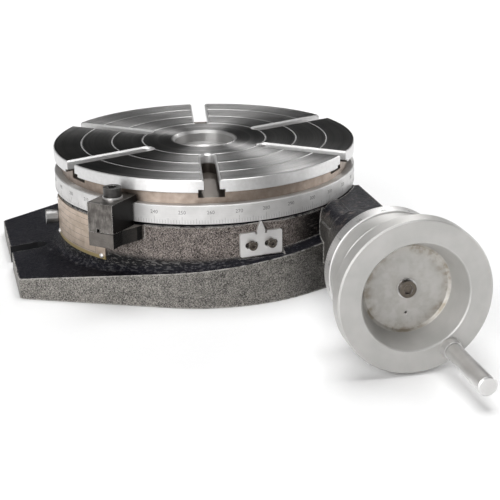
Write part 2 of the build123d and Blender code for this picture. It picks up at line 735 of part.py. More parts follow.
def make_worm():
    """The worm shaft, its handwheel, and what they carry."""
    save("worm_shaft", on_worm_axis(worm_shaft()))
    collar = tube(12.0, SHAFT_R + SNUG, CAP_END + 0.4, CAP_END + 6)
    save("thrust_collar", on_worm_axis(collar))
    hub = turned(
        (SHAFT_R + SNUG, CAP_END + 6.2),
        (12.0, CAP_END + 6.2),
        (17.0, CAP_END + 11),
        (17.0, HUB_BACK - 0.1),
        (SHAFT_R + SNUG, HUB_BACK - 0.1),
    )
    save("dial_hub", on_worm_axis(hub))
    save("handwheel", on_worm_axis(handwheel()))
    key = block(SHAFT_R - 1.75, SHAFT_R + 1.2, -1.95, 1.95, 241, 261)
    save("handwheel_key", on_worm_axis(key))
    washer = tube(7.0, 3.2, POCKET_FLOOR + 0.02, POCKET_FLOOR + 0.9)
    save("handwheel_washer", on_worm_axis(washer))
    screw = Pos(0, 0, POCKET_FLOOR + 0.9) * cap_screw(2.95, 18, 6.1, 2.6, 0.6)
    save("handwheel_screw", on_worm_axis(screw))
    make_handle()
    make_dial()


def make_handle():
    """Handle: a fixed stem with a collar, and the grip that turns on it."""
    x, y = polar(HANDLE_R, HANDLE_ANGLE)
    stem = rod(3.95, RIM_BACK + 0.5, GRIP_END - 6)
    stem += turned(
        (0, FACE - 0.9),
        (6.8, FACE - 0.9),
        (6.8, FACE + 0.05),
        (7.6, FACE + 0.05),
        (7.6, FACE + 2.6),
        (6.6, GRIP_START - 0.6),
        (0, GRIP_START - 0.6),
    )
    save("handle_stem", on_worm_axis(Pos(x, y, 0) * stem))
    grip = turned(
        (4.05, GRIP_START),
        (5.8, GRIP_START),
        (6.2, GRIP_START + 0.8),
        (6.2, GRIP_START + 20),
        (6.6, GRIP_END - 3.0),
        (6.9, GRIP_END - 1.0),
        (5.9, GRIP_END),
        (0, GRIP_END),
        (0, GRIP_END - 5),
        (4.05, GRIP_END - 5),
    )
    save("handle_grip", on_worm_axis(Pos(x, y, 0) * grip))


def make_dial():
    """Graduated dial that turns on the hub, and the thumb screw that locks it."""
    dial = turned(
        (33.0, DIAL_BACK + 4),
        (17.05, DIAL_BACK + 4),
        (17.05, DIAL_FRONT - 2),
        (33.0, DIAL_FRONT - 2),
        (33.0, DIAL_FRONT),
        (DIAL_R - 0.5, DIAL_FRONT),
        (DIAL_R, DIAL_FRONT - 0.5),
        (DIAL_R, DIAL_BACK + 0.8),
        (DIAL_R - 0.8, DIAL_BACK),
        (33.0, DIAL_BACK),
    )
    outwards = Rot(0, 0, DIAL_SCREW_ANGLE) * Pos(0, 0, DIAL_BACK + 7) * Rot(0, 90, 0)
    dial -= outwards * rod(2.0, 30, 50)
    save("dial_ring", on_worm_axis(dial))
    thumb = rod(1.95, 34, DIAL_R + 1) + rod(3.4, DIAL_R + 0.3, DIAL_R + 4.5)
    save("dial_lock_screw", on_worm_axis(outwards * thumb))


# --------------------------------------------------------------- clamp bodies


def clamp_jaw():
    """Clamp block along +X: a nose over the graduated ring and a heel on the lug."""
    outline = Polyline(
        (CLAMP_HEEL_FACE, CLAMP_SEAT),
        (CLAMP_FACE, CLAMP_SEAT),
        (CLAMP_FACE, CLAMP_TOP),
        (CLAMP_NOSE_R, CLAMP_TOP),
        (CLAMP_NOSE_R, RING_TOP + 0.1),
        (CLAMP_HEEL_FACE, RING_TOP + 0.1),
        close=True,
    )
    half = CLAMP_WIDTH / 2
    jaw = Pos(0, half, 0) * Rot(90, 0, 0) * extrude(make_face(outline), CLAMP_WIDTH)
    jaw -= Pos(CLAMP_SCREW_R, 0, 0) * rod(4.5, CLAMP_SEAT - 1, CLAMP_TOP + 1)
    front = (CLAMP_FACE - 5, CLAMP_FACE + 1)
    jaw -= block(*front, -3.8, -0.8, CLAMP_SEAT - 1, CLAMP_SEAT + 3.0)
    jaw -= block(*front, -1.0, half + 1, CLAMP_SEAT - 1, CLAMP_SEAT + 0.6)
    return jaw


def make_clamps():
    """Two clamps that press the graduated ring down when their screws turn."""
    for name, angle in CLAMP_ANGLES.items():
        turn = Rot(0, 0, angle)
        save(f"{name}_clamp_jaw", turn * clamp_jaw())
        washer = Pos(CLAMP_SCREW_R, 0, 0) * tube(7.6, 4.3, CLAMP_TOP, CLAMP_TOP + 1.4)
        save(f"{name}_clamp_washer", turn * washer)
        screw = Pos(CLAMP_SCREW_R, 0, CLAMP_TOP + 1.4) * cap_screw(3.95, 34, CLAMP_HEAD_R, 7.2)
        save(f"{name}_clamp_screw", turn * screw)


make_table()
make_base()
make_worm()
make_clamps()
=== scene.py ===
import json
import math

import bmesh
import bpy
from mathutils import Matrix, Vector


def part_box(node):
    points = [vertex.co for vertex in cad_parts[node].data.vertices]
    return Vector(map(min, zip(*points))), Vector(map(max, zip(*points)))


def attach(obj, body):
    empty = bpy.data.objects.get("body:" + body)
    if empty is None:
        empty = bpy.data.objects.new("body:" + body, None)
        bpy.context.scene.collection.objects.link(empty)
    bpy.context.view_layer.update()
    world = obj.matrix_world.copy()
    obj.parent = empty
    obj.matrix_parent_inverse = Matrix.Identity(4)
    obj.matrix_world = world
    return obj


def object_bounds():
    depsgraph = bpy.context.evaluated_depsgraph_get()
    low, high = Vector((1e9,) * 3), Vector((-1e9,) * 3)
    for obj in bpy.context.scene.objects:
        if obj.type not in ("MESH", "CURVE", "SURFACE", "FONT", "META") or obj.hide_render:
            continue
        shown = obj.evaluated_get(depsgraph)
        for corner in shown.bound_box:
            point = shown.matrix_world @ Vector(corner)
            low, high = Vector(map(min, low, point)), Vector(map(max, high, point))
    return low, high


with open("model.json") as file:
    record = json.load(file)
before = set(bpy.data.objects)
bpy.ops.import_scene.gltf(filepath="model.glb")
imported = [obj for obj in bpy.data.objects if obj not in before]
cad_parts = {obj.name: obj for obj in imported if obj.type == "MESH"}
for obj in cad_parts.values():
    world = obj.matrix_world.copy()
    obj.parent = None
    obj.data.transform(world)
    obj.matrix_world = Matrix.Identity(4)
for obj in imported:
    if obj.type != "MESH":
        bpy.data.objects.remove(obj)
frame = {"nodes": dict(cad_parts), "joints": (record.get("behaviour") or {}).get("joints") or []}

# The CAD model's own box, before any piece is added.
cad_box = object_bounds()

MM = 0.001
nodes = frame["nodes"]
joints = {joint["name"]: joint for joint in frame["joints"]}

# Places read from the frame. The table's axis is Z; the worm, dial, handwheel and grip turn about Y.
RING_LOW, RING_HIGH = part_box("graduated_ring")
DIAL_LOW, DIAL_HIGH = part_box("dial_ring")
PLATE_LOW, PLATE_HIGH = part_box("nameplate")
TABLE_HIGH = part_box("rotary_platter")[1]
TABLE_R = TABLE_HIGH.x
TABLE_TOP = TABLE_HIGH.z
RING_R = RING_HIGH.x
DIAL_R = (DIAL_HIGH.x - DIAL_LOW.x) / 2
PLATE_R = max(-PLATE_LOW.x, -PLATE_LOW.y)
WHEEL_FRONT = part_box("handwheel")[0].y
WORM_X, _, WORM_Z = joints["handwheel_spin"]["pos_m"]
GRIP_X, _, GRIP_Z = joints["grip_spin"]["pos_m"]

# The table's recessed band, the underside of its rim, its T-slots and its centre recess.
BAND_R = 119 * MM
RIM_BOTTOM = TABLE_TOP - 10 * MM
SLOT_HEAD_TOP = TABLE_TOP - 7.4 * MM
RECESS_R = 28 * MM

# The base casting's round body, the slots in its ears and its clamp lugs.
BODY_R = 124.5 * MM
EAR_SLOT_X = 134 * MM
EAR_SLOT_Y = 12 * MM
EAR_SLOT_HALF_WIDTH = 9 * MM
LUG_BOTTOM = 46 * MM
# y - x is lower than this in the worm housing, and higher at the lugs.
HOUSING_LINE = -60 * MM

# The handwheel's pocket.
POCKET_DEPTH = 20 * MM
POCKET_FLOOR_R = 31 * MM

# Widths of marks and lines; their depth reaches as far above their surface as below it.
MARK_WIDTH = 0.16 * MM
MARK_DEPTH = 0.02 * MM
LINE_WIDTH = 0.25 * MM
LINE_DEPTH = 0.03 * MM


# ------------------------------------------------------------------ shaders


class Shader:
    """A material whose nodes are added by short calls; each call gives a socket."""

    def __init__(self, name):
        self.material = bpy.data.materials.new(name)
        self.material.use_nodes = True
        self.tree = self.material.node_tree
        self.surface = self.tree.nodes["Principled BSDF"]
        place = self.tree.nodes.new("ShaderNodeTexCoord")
        self.place = place.outputs["Object"]
        self.normal = place.outputs["Normal"]
        split = self.add("ShaderNodeSeparateXYZ", Vector=self.place)
        self.x, self.y, self.z = split.outputs

    def add(self, kind, settings=None, **inputs):
        """A new node with its settings and inputs; an underscore stands for a space."""
        node = self.tree.nodes.new(kind)
        for key, value in (settings or {}).items():
            setattr(node, key, value)
        for key, value in inputs.items():
            self.put(node.inputs[key.replace("_", " ")], value)
        return node

    def put(self, socket, value):
        """Links a socket to an input, or sets the input to a plain value."""
        if isinstance(value, bpy.types.NodeSocket):
            self.tree.links.new(value, socket)
        else:
            socket.default_value = value

    def calc(self, operation, *values):
        """One operation on sockets or numbers."""
        node = self.tree.nodes.new("ShaderNodeMath")
        node.operation = operation
        for socket, value in zip(node.inputs, values):
            self.put(socket, value)
        return node.outputs[0]

    def plus(self, total, *others):
        """Sum of sockets or numbers."""
        for other in others:
            total = self.calc("ADD", total, other)
        return total

    def times(self, product, *others):
        """Product of sockets or numbers. A product of masks is 1 where all of them are."""
        for other in others:
            product = self.calc("MULTIPLY", product, other)
        return product

    def weighted(self, *pairs):
        """Sum of values, each with its own weight."""
        return self.plus(*[self.times(value, weight) for value, weight in pairs])

    def size_of(self, value):
        """A value without its sign."""
        return self.calc("ABSOLUTE", value)

    def radius(self, u, v, centre_u=0.0, centre_v=0.0):
        """Distance from an axis through a point of the plane of u and v."""
        du = self.calc("SUBTRACT", u, centre_u)
        dv = self.calc("SUBTRACT", v, centre_v)
        return self.calc("SQRT", self.plus(self.times(du, du), self.times(dv, dv)))

    def step(self, value, start, end):
        """0 before start, 1 past end, smooth between. start may be the larger."""
        node = self.add("ShaderNodeMapRange", {"interpolation_type": "SMOOTHSTEP"}, Value=value)
        node.inputs["From Min"].default_value = start
        node.inputs["From Max"].default_value = end
        return node.outputs["Result"]

    def within(self, value, low, high, soft):
        """1 between two values and 0 outside."""
        return self.times(
            self.step(value, low - soft, low + soft),
            self.step(value, high + soft, high - soft),
        )

    def noise(self, size, detail=3.0, roughness=0.55, vector=None):
        """Noise with features of a size in metres."""
        node = self.add("ShaderNodeTexNoise", Vector=vector or self.place, Scale=1 / size)
        node.inputs["Detail"].default_value = detail
        node.inputs["Roughness"].default_value = roughness
        return node.outputs["Fac"]

    def lines(self, distance, size):
        """Tool marks: noise that changes with one distance only."""
        vector = self.add("ShaderNodeCombineXYZ", X=distance).outputs[0]
        return self.noise(size, 2.0, 0.7, vector)

    def stretched(self, size, along):
        """Noise squeezed along each axis by a factor, or drawn out by one below 1."""
        node = self.add("ShaderNodeMapping", Vector=self.place)
        node.inputs["Scale"].default_value = along
        return self.noise(size, 3.0, 0.6, node.outputs[0])

    def between(self, kind, factor, first, second):
        """Mix of two colours or two numbers."""
        node = self.tree.nodes.new("ShaderNodeMix")
        node.data_type = kind
        self.put(node.inputs["Factor"], factor)
        self.put(node.inputs["A"], first)
        self.put(node.inputs["B"], second)
        return node.outputs["Result"]

    def mix(self, factor, first, second):
        """Colour between two colours."""
        return self.between("RGBA", factor, first, second)

    def blend(self, factor, first, second):
        """Number between two numbers."""
        return self.between("FLOAT", factor, first, second)

    def bump(self, height, depth, strength, normal=None):
        """Normal raised by a height of 0 to 1 times a depth in metres."""
        node = self.add("ShaderNodeBump", Height=height, Strength=strength, Distance=depth)
        if normal is not None:
            self.put(node.inputs["Normal"], normal)
        return node.outputs[0]

    def soft_edge(self, size):
        """Normal rounded over the edges, which lets them catch light."""
        return self.add("ShaderNodeBevel", {"samples": 4}, Radius=size).outputs[0]

    def dot(self, first, second):
        """Dot product of two vectors."""
        node = self.add("ShaderNodeVectorMath", {"operation": "DOT_PRODUCT"})
        self.put(node.inputs[0], first)
        self.put(node.inputs[1], second)
        return node.outputs["Value"]

    def edge(self, size):
        """1 on sharp edges and 0 on flat faces."""
        plain = self.tree.nodes.new("ShaderNodeNewGeometry").outputs["Normal"]
        return self.step(self.dot(self.soft_edge(size), plain), 0.995, 0.86)

    def level(self):
        """1 on level faces, 0 on upright ones."""
        return self.size_of(self.add("ShaderNodeSeparateXYZ", Vector=self.normal).outputs[2])

    def crosswise(self):
        """1 on faces that look round the table's axis, 0 on faces that look out or up."""
        from_axis = self.add("ShaderNodeCombineXYZ", X=self.x, Y=self.y).outputs[0]
        outward = self.add("ShaderNodeVectorMath", {"operation": "NORMALIZE"})
        self.put(outward.inputs[0], from_axis)
        looks_out = self.size_of(self.dot(self.normal, outward.outputs[0]))
        return self.step(self.plus(looks_out, self.level()), 0.6, 0.4)

    def finish(self, **inputs):
        """Sets the surface's inputs and gives the material."""
        for key, value in inputs.items():
            self.put(self.surface.inputs[key.replace("_", " ")], value)
        return self.material


def rgb(red, green, blue):
    """A colour."""
    return (red, green, blue, 1.0)


def grey(value, warm=0.0):
    """A colour near grey; warm above 0 leans to brown, below 0 to blue."""
    return rgb(value * (1 + warm), value, value * (1 - warm))


def table_places(s, r):
    """Masks of the table's face, centre recess, T-slots' wide parts and recessed band."""
    face = s.step(s.z, TABLE_TOP - 0.12 * MM, TABLE_TOP - 0.05 * MM)
    recess = s.step(r, RECESS_R, RECESS_R - 0.5 * MM)
    slots = s.times(
        s.within(r, RECESS_R, TABLE_R - 0.8 * MM, 0.3 * MM),
        s.step(s.z, SLOT_HEAD_TOP + 1 * MM, SLOT_HEAD_TOP - 1 * MM),
    )
    band = s.times(
        s.within(r, BAND_R - 0.6 * MM, BAND_R + 0.4 * MM, 0.1 * MM),
        s.step(s.z, RIM_BOTTOM + 0.1 * MM, RIM_BOTTOM - 0.2 * MM),
    )
    return face, recess, slots, band


def table_steel():
    """Ground and turned iron: dark face, bright rim, slots and grooves, brown recessed band."""
    s = Shader("table_steel")
    r = s.radius(s.x, s.y)
    rings = s.lines(r, 0.45 * MM)
    broad = s.lines(r, 7 * MM)
    stains = s.noise(26 * MM, 4.0)
    face, recess, slots, band = table_places(s, r)
    shade = s.weighted((rings, 0.8), (broad, 0.35), (stains, 0.2))
    dark = s.mix(s.step(shade, 0.54, 0.82), grey(0.05, -0.01), grey(0.24, 0.02))
    bright = s.mix(s.noise(3 * MM, 2.0), grey(0.60, 0.015), grey(0.78))
    brown = s.mix(s.noise(6 * MM, 4.0), rgb(0.20, 0.15, 0.12), rgb(0.55, 0.46, 0.39))
    # Deep parts of the T-slots: oil and painted shade, darker down in the recess.
    oil_and_shade = s.mix(stains, rgb(0.06, 0.05, 0.045), rgb(0.16, 0.14, 0.12))
    colour = s.mix(face, bright, dark)
    colour = s.mix(recess, colour, s.mix(rings, grey(0.30, 0.02), grey(0.55, 0.01)))
    colour = s.mix(slots, colour, oil_and_shade)
    colour = s.mix(band, colour, brown)
    rough = s.blend(face, 0.30, s.plus(0.30, s.times(broad, 0.12)))
    rough = s.blend(s.calc("MAXIMUM", band, recess), rough, 0.42)
    height = s.times(rings, s.plus(0.4, face))
    tangent = s.add("ShaderNodeTangent", {"direction_type": "RADIAL", "axis": "Z"}).outputs[0]
    return s.finish(
        Base_Color=colour,
        Metallic=s.blend(face, 0.65, 1.0),
        Roughness=rough,
        Anisotropic=0.9,
        Anisotropic_Rotation=0.25,
        Tangent=tangent,
        Normal=s.bump(height, 0.02 * MM, 0.35, s.soft_edge(0.3 * MM)),
    )


def turned_steel(name, low, high, roughness, axis="Z", centre=(0.0, 0.0), metal=1.0):
    """Steel turned about an axis, with fine rings, a few stains and lit edges."""
    s = Shader(name)
    if axis == "Z":
        along = s.z
        r = s.radius(s.x, s.y, *centre)
    else:
        along = s.y
        r = s.radius(s.x, s.z, *centre)
    rings = s.lines(s.plus(r, s.times(along, 0.83)), 0.3 * MM)
    stains = s.noise(14 * MM, 4.0)
    tone = s.weighted((rings, 0.5), (stains, 0.7))
    plain = s.mix(s.step(tone, 0.35, 0.85), grey(low, 0.015), grey(high, 0.01))
    lit = grey(min(0.95, high * 1.25))
    return s.finish(
        Base_Color=s.mix(s.edge(0.25 * MM), plain, lit),
        Metallic=metal,
        Roughness=s.blend(stains, roughness * 0.85, roughness * 1.2),
        Normal=s.bump(rings, 0.02 * MM, 0.3, s.soft_edge(0.25 * MM)),
    )


def on_lugs(s, r):
    """Mask of the clamp lugs, which stand out of the round body above the flange."""
    return s.times(
        s.step(r, BODY_R + 0.5 * MM, BODY_R + 1.5 * MM),
        s.step(s.z, LUG_BOTTOM, LUG_BOTTOM + 1 * MM),
        s.step(s.calc("SUBTRACT", s.y, s.x), HOUSING_LINE - 1 * MM, HOUSING_LINE),
    )


def in_ear_slots(s):
    """Mask of the walls of the slots in the ears."""
    low = EAR_SLOT_Y - EAR_SLOT_HALF_WIDTH
    high = EAR_SLOT_Y + EAR_SLOT_HALF_WIDTH
    return s.times(
        s.within(s.y, low, high, 0.2 * MM),
        s.step(s.size_of(s.x), EAR_SLOT_X - 1 * MM, EAR_SLOT_X),
    )


def at_wall_foot(s, r):
    """Mask of the corner between the round body and the flange."""
    return s.times(
        s.step(r, BODY_R + 7 * MM, BODY_R + 6 * MM),
        s.step(s.z, 40 * MM, 34 * MM),
    )


def chipped(s):
    """Mask of chipped paint on the right of the worm housing, above the flange."""
    return s.times(
        s.step(s.x, 60 * MM, 70 * MM),
        s.step(s.noise(6 * MM, 5.0, 0.7), 0.55, 0.68),
        s.step(s.y, -75 * MM, -85 * MM),
        s.step(s.z, 45 * MM, 50 * MM),
    )


def upright_paint(s, r, speckle, glint, ripples):
    """Paint on upright faces: speckled grey of painted sheen and painted glints, but nearly black in
    painted shade on the right, where its wrinkle ridges carry painted glints.
    """
    wall = s.step(r, BODY_R + 2 * MM, BODY_R)
    # Painted sheen: the grey on upright faces, browner on the body's wall, stands for the key light's
    # reflection in the black paint.
    low = s.mix(wall, rgb(0.025, 0.024, 0.022), rgb(0.006, 0.005, 0.005))
    high = s.mix(wall, rgb(0.34, 0.322, 0.295), rgb(0.29, 0.25, 0.228))
    speckled = s.mix(speckle, low, high)
    # Painted glints: bright points of light mixed into the colour.
    speckled = s.mix(s.times(glint, 0.5), speckled, rgb(0.50, 0.46, 0.43))
    # Painted glints on the wrinkles: the glint mask and the ripples' crest lines.
    wrinkle_glints = s.calc("MAXIMUM", s.times(glint, 0.7), s.step(ripples, 0.56, 0.64))
    shaded_wrinkles = s.mix(wrinkle_glints, rgb(0.002, 0.002, 0.002), rgb(0.075, 0.068, 0.066))
    # Painted shade: the upright paint turns nearly black towards the right, away from the key light.
    right = s.times(s.step(s.x, 30 * MM, 65 * MM), s.blend(wall, 0.7, 0.98))
    return s.mix(right, speckled, shaded_wrinkles)


def level_paint(s, speckle):
    """Paint on level faces: nearly black, with small bluish painted glints."""
    plain = s.mix(speckle, rgb(0.002, 0.002, 0.004), rgb(0.010, 0.010, 0.015))
    # Painted glints: small bluish points of light on the level faces.
    top_glints = s.step(s.noise(2.4 * MM, 2.0, 0.7), 0.58, 0.68)
    return s.mix(top_glints, plain, rgb(0.055, 0.055, 0.062))


def filed_iron(s, lumps):
    """Bare filed iron of the lugs, with painted shade on their sides."""
    filed = s.mix(lumps, rgb(0.075, 0.067, 0.061), rgb(0.17, 0.155, 0.142))
    # Painted shade: the lugs' sides, which look round the table's axis, are made nearly black.
    return s.mix(s.crosswise(), filed, rgb(0.006, 0.006, 0.006))


def black_paint():
    """Black enamel over a sand casting: grey and speckled on upright faces as painted sheen and
    painted glints, with painted shade in its darkest places, worn on edges.
    """
    s = Shader("black_paint")
    r = s.radius(s.x, s.y)
    grain = s.noise(1.0 * MM, 3.0, 0.7)
    fine = s.noise(0.5 * MM, 2.0, 0.6)
    lumps = s.noise(7 * MM, 3.0, 0.6)
    ripples = s.stretched(4 * MM, (1.0, 1.0, 3.5))
    mottle = s.weighted((grain, 0.6), (fine, 0.25), (lumps, 0.15))
    speckle = s.step(mottle, 0.37, 0.63)
    # Mask of painted glints on the paint.
    glint = s.step(mottle, 0.56, 0.64)

    slots = in_ear_slots(s)
    foot = at_wall_foot(s, r)
    # Painted highlights: lighter crests of the ripples at the body's foot, where light would catch
    # them.
    crest_highlights = s.times(foot, s.step(ripples, 0.52, 0.60))
    on_side = upright_paint(s, r, speckle, glint, ripples)
    # Painted shade: the walls of the ear slots are made nearly black.
    on_side = s.mix(slots, on_side, rgb(0.010, 0.010, 0.011))
    # Painted shade: nearly black in the corner at the body's foot.
    on_side = s.mix(foot, on_side, rgb(0.006, 0.006, 0.007))
    on_side = s.mix(crest_highlights, on_side, rgb(0.10, 0.095, 0.092))
    on_top = s.mix(crest_highlights, level_paint(s, speckle), rgb(0.055, 0.054, 0.058))
    # Painted sheen: upright faces take the grey of the upright paint, level faces stay nearly black.
    colour = s.mix(s.step(s.level(), 0.75, 0.2), on_top, on_side)

    patches = s.step(s.noise(5 * MM, 3.0), 0.32, 0.55)
    worn = s.times(s.edge(1.8 * MM), patches, s.calc("SUBTRACT", 1.0, slots))
    colour = s.mix(worn, colour, rgb(0.60, 0.58, 0.55))
    colour = s.mix(chipped(s), colour, rgb(0.13, 0.105, 0.095))
    colour = s.mix(on_lugs(s, r), colour, filed_iron(s, lumps))
    height = s.weighted((grain, 0.6), (lumps, 0.7), (ripples, 0.7))
    return s.finish(
        Base_Color=colour,
        Roughness=s.blend(speckle, 0.34, 0.5),
        Specular_IOR_Level=0.14,
        Normal=s.bump(height, 0.8 * MM, 0.9, s.soft_edge(0.8 * MM)),
    )


def dark_machined():
    """Surface ground steel with scratches and bright edges; its sides are nearly black with painted
    shade.
    """
    s = Shader("dark_machined")
    scratches = s.stretched(0.5 * MM, (1.0, 1.0, 0.08))
    stains = s.noise(7 * MM, 4.0)
    tone = s.step(s.weighted((scratches, 0.5), (stains, 0.6)), 0.4, 0.75)
    colour = s.mix(tone, rgb(0.075, 0.068, 0.063), rgb(0.23, 0.215, 0.20))
    # Painted shade: faces that look round the table's axis, the jaws' sides, are made nearly black.
    colour = s.mix(s.crosswise(), colour, rgb(0.015, 0.014, 0.014))
    colour = s.mix(s.edge(0.35 * MM), colour, grey(0.7, 0.02))
    return s.finish(
        Base_Color=colour,
        Metallic=0.9,
        Roughness=s.blend(scratches, 0.28, 0.46),
        Normal=s.bump(scratches, 0.03 * MM, 0.3, s.soft_edge(0.3 * MM)),
    )


def black_oxide(name, low, high):
    """Blackened or browned screws with a thin bright line on their edges."""
    s = Shader(name)
    stains = s.noise(2.5 * MM, 3.0)
    return s.finish(
        Base_Color=s.mix(s.edge(0.2 * MM), s.mix(stains, low, high), grey(0.45, 0.04)),
        Metallic=0.85,
        Roughness=s.blend(stains, 0.26, 0.42),
        Normal=s.bump(stains, 0.02 * MM, 0.3, s.soft_edge(0.2 * MM)),
    )


def pocket_stains(s, r):
    """How much the handwheel's surface is darker and browner: only on the pocket's floor, most at its
    rim.
    """
    floor_y = WHEEL_FRONT + POCKET_DEPTH
    on_floor = s.times(
        s.within(s.y, floor_y - 1.5 * MM, floor_y + 2 * MM, 0.4 * MM),
        s.step(r, POCKET_FLOOR_R + 3 * MM, POCKET_FLOOR_R),
    )
    near_rim = s.step(r, POCKET_FLOOR_R - 9 * MM, POCKET_FLOOR_R)
    return s.times(on_floor, s.plus(0.28, s.times(near_rim, 0.7)))


def satin_aluminium():
    """Matte turned aluminium: faint rings, darker and browner on the pocket's floor, lit edges."""
    s = Shader("satin_aluminium")
    r = s.radius(s.x, s.z, WORM_X, WORM_Z)
    rings = s.lines(s.plus(r, s.y), 0.5 * MM)
    mottle = s.noise(8 * MM, 5.0, 0.62)
    cloud = s.noise(25 * MM, 3.0)
    tone = s.step(s.plus(cloud, s.times(rings, 0.25)), 0.4, 0.85)
    body = s.mix(tone, rgb(0.43, 0.425, 0.41), rgb(0.51, 0.50, 0.485))
    darkened = s.mix(s.step(mottle, 0.38, 0.66), rgb(0.47, 0.45, 0.42), rgb(0.25, 0.215, 0.165))
    colour = s.mix(pocket_stains(s, r), body, darkened)
    height = s.plus(rings, s.noise(0.35 * MM, 2.0))
    return s.finish(
        Base_Color=s.mix(s.edge(0.35 * MM), colour, grey(0.86)),
        Metallic=0.5,
        Roughness=s.blend(cloud, 0.40, 0.52),
        Normal=s.bump(height, 0.02 * MM, 0.35, s.soft_edge(0.5 * MM)),
    )


def brass_sheet():
    """Brushed brass plate, a little dull and stained, with a golden strip along its foot."""
    s = Shader("brass_sheet")
    brushed = s.stretched(0.4 * MM, (1.0, 1.0, 12.0))
    stains = s.noise(9 * MM, 4.0)
    colour = s.mix(s.step(stains, 0.35, 0.7), rgb(0.55, 0.45, 0.37), rgb(0.38, 0.30, 0.235))
    colour = s.mix(s.times(brushed, 0.4), colour, rgb(0.62, 0.53, 0.44))
    foot = s.step(s.z, PLATE_LOW.z + 3.2 * MM, PLATE_LOW.z + 2.4 * MM)
    return s.finish(
        Base_Color=s.mix(foot, colour, rgb(0.45, 0.36, 0.18)),
        Metallic=0.75,
        Roughness=s.blend(brushed, 0.38, 0.55),
        Normal=s.bump(brushed, 0.02 * MM, 0.3, s.soft_edge(0.15 * MM)),
    )


def bronze():
    """Machined bronze of the bushes and the worm wheel."""
    s = Shader("bronze")
    marks = s.lines(s.plus(s.radius(s.x, s.y), s.z), 0.4 * MM)
    stains = s.noise(10 * MM, 4.0)
    return s.finish(
        Base_Color=s.mix(stains, rgb(0.42, 0.25, 0.10), rgb(0.62, 0.42, 0.20)),
        Metallic=1.0,
        Roughness=s.blend(marks, 0.26, 0.42),
        Normal=s.bump(marks, 0.02 * MM, 0.3),
    )


def engraving():
    """Dark filling of marks, numbers and lines, thin in places."""
    s = Shader("engraving")
    gaps = s.noise(0.8 * MM, 3.0)
    return s.finish(
        Base_Color=s.mix(s.step(gaps, 0.45, 0.7), grey(0.10), grey(0.30, 0.02)),
        Roughness=s.blend(gaps, 0.5, 0.7),
    )


def paper_floor():
    """Pale studio floor with a barely seen grain, brightened far from the object."""
    s = Shader("paper_floor")
    grain = s.noise(4 * MM, 2.0)
    far = s.step(s.radius(s.x, s.y), 0.3, 1.8)
    return s.finish(
        Base_Color=s.mix(grain, grey(0.93), grey(0.96)),
        Roughness=0.9,
        Emission_Color=grey(1.0),
        Emission_Strength=s.times(far, 0.8),
    )


# ------------------------------------------------------------------- pieces


def piece(name, shape, material, body):
    """A new object made from a bmesh, riding on a body."""
    data = bpy.data.meshes.new(name)
    bmesh.ops.recalc_face_normals(shape, faces=shape.faces)
    shape.to_mesh(data)
    shape.free()
    made = bpy.data.objects.new(name, data)
    bpy.context.scene.collection.objects.link(made)
    data.materials.append(material)
    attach(made, body)


def round_table_axis(surface_r):
    """Gives a place from a distance round a surface about the table's axis, a height and a lift."""

    def place(u, v, w):
        angle = u / surface_r
        r = surface_r + w
        return Vector((r * math.cos(angle), r * math.sin(angle), v))

    return place


def round_dial(u, v, w):
    """Place on the dial, from the distance round it, the place along it and the lift off it."""
    angle = -u / DIAL_R
    r = DIAL_R + w
    return Vector((WORM_X + r * math.cos(angle), v, WORM_Z + r * math.sin(angle)))


def add_bar(shape, place, across, along, depth, steps=1):
    """A thin bar on a curved surface, closed on every side; across and along are its limits."""
    u0, u1 = across
    v0, v1 = along
    corners = [(v0, -depth), (v1, -depth), (v1, depth), (v0, depth)]
    loops = []
    for i in range(steps + 1):
        u = u0 + (u1 - u0) * i / steps
        loops.append([shape.verts.new(place(u, v, w)) for v, w in corners])
    for first, second in zip(loops, loops[1:]):
        for i in range(4):
            j = (i + 1) % 4
            shape.faces.new((first[i], first[j], second[j], second[i]))
    shape.faces.new(loops[0])
    shape.faces.new(reversed(loops[-1]))


def add_number(shape, place, text, u, v, height):
    """A number laid on a curved surface, centred at u with its foot at v."""
    digit_share = 0.7
    curve = bpy.data.curves.new("number", "FONT")
    curve.body = text
    curve.size = height / digit_share
    curve.align_x = "CENTER"
    curve.extrude = MARK_DEPTH
    curve.resolution_u = 3
    holder = bpy.data.objects.new("number", curve)
    bpy.context.scene.collection.objects.link(holder)
    bpy.context.view_layer.update()
    evaluated = holder.evaluated_get(bpy.context.evaluated_depsgraph_get())
    flat = bpy.data.meshes.new_from_object(evaluated)
    start = len(shape.verts)
    shape.from_mesh(flat)
    shape.verts.ensure_lookup_table()
    for vert in shape.verts[start:]:
        x, y, z = vert.co
        vert.co = place(u + x, v + y, z)
    bpy.data.objects.remove(holder)
    bpy.data.curves.remove(curve)
    bpy.data.meshes.remove(flat)


def mark_length(mark, tenth, fifth, other):
    """Length of a mark in a row where every fifth and every tenth is longer."""
    if mark % 10 == 0:
        return tenth
    if mark % 5 == 0:
        return fifth
    return other


def mark_sides(u):
    """Where a mark centred at u starts and ends round its surface."""
    return u - MARK_WIDTH / 2, u + MARK_WIDTH / 2


def ring_graduations(material):
    """Degree marks round the ring, longer at 5 and 10, with a number at each 10."""
    shape = bmesh.new()
    on_ring = round_table_axis(RING_R)
    per_degree = math.radians(1) * RING_R
    foot = RING_LOW.z + 0.7 * MM
    for degree in range(360):
        top = foot + mark_length(degree, 5.6 * MM, 4.2 * MM, 2.8 * MM)
        add_bar(shape, on_ring, mark_sides(degree * per_degree), (foot, top), MARK_DEPTH)
    number_foot = foot + 7.6 * MM
    for degree in range(0, 360, 10):
        add_number(shape, on_ring, str(degree), degree * per_degree, number_foot, 2.8 * MM)
    piece("ring_graduations", shape, material, "table")


